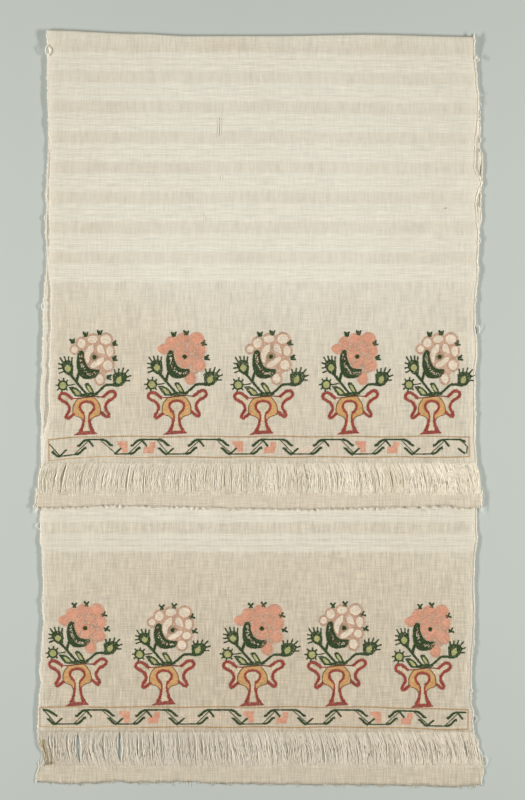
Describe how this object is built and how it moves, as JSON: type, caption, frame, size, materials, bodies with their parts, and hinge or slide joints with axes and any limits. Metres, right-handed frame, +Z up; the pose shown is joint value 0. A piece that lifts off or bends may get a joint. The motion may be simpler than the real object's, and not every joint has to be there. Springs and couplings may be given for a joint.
{
  "type": "embroidered towel, folded once",
  "caption": "Loom-woven cotton towel with embroidered vase and flower motifs, a meander border and an open warp band at each end, folded once and lying flat",
  "frame": {"origin": "middle of the footprint of the folded towel, on the surface it lies on", "axes": "+Z up out of the face of the towel, +Y along its warps towards the fold, +X across its width"},
  "size_m": [0.504, 0.848, 0.0056],
  "materials": {
    "woven_cotton": "matte hand-loomed cotton with dense and sheer weft bands",
    "loose_warps": "matte unwoven cotton warps and plain end strip",
    "silk_green": "dark green floss silk, slight sheen",
    "silk_light_green": "light green floss silk, slight sheen",
    "silk_salmon": "salmon floss silk, slight sheen",
    "silk_pale": "pale pink floss silk, slight sheen",
    "silk_ochre": "ochre floss silk, slight sheen",
    "silk_red": "madder red floss silk, slight sheen",
    "metal_thread": "tarnished metal thread on a pale core"
  },
  "bodies": {
    "root": {"cloth": "woven_cotton", "front_open_band": "loose_warps", "back_open_band": "loose_warps"}
  },
  "joints": []
}
